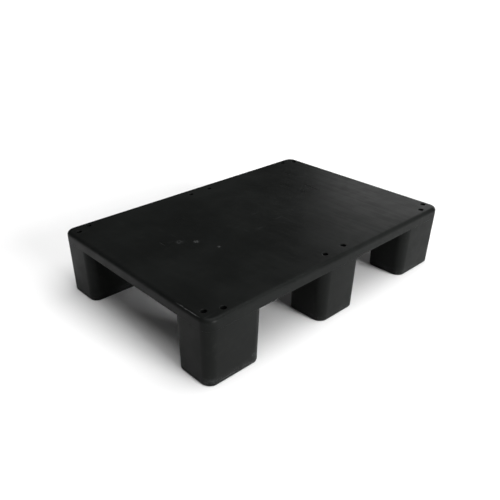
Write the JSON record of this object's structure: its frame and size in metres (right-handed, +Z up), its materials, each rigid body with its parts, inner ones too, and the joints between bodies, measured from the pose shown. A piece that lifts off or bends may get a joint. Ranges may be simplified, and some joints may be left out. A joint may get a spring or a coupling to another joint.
{
  "type": "plastic pallet",
  "caption": "Small closed-deck plastic display pallet: a smooth deck with rolled edges over a ribbed frame, standing on hollow feet screwed on through wells in the deck.",
  "frame": {"origin": "centre of the footprint at floor level, under the middle of the deck", "axes": "+X along the long side towards the right feet, +Y along the short side towards the rear feet, +Z up; the front is the long side at -Y"},
  "size_m": [0.6, 0.4, 0.12],
  "materials": {
    "deck_plastic": "black moulded polyolefin, semi-matte with a soft sheen, scuffed on the deck",
    "frame_plastic": "black moulded polyolefin, matte, undecorated ribs",
    "foot_plastic": "black moulded polyolefin, semi-matte, worn along the sole edges",
    "screw_steel": "black-oxide steel with a light oil film",
    "insert_brass": "turned brass, satin"
  },
  "bodies": {
    "root": {"deck_panel": "deck_plastic", "deck_frame": "frame_plastic", "foot_front_left": "foot_plastic", "foot_front_middle": "foot_plastic", "foot_front_right": "foot_plastic", "foot_rear_left": "foot_plastic", "foot_rear_middle": "foot_plastic", "foot_rear_right": "foot_plastic", "screws_front_left": "screw_steel", "screws_front_middle": "screw_steel", "screws_front_right": "screw_steel", "screws_rear_left": "screw_steel", "screws_rear_middle": "screw_steel", "screws_rear_right": "screw_steel", "inserts_front_left": "insert_brass", "inserts_front_middle": "insert_brass", "inserts_front_right": "insert_brass", "inserts_rear_left": "insert_brass", "inserts_rear_middle": "insert_brass", "inserts_rear_right": "insert_brass"}
  },
  "joints": []
}
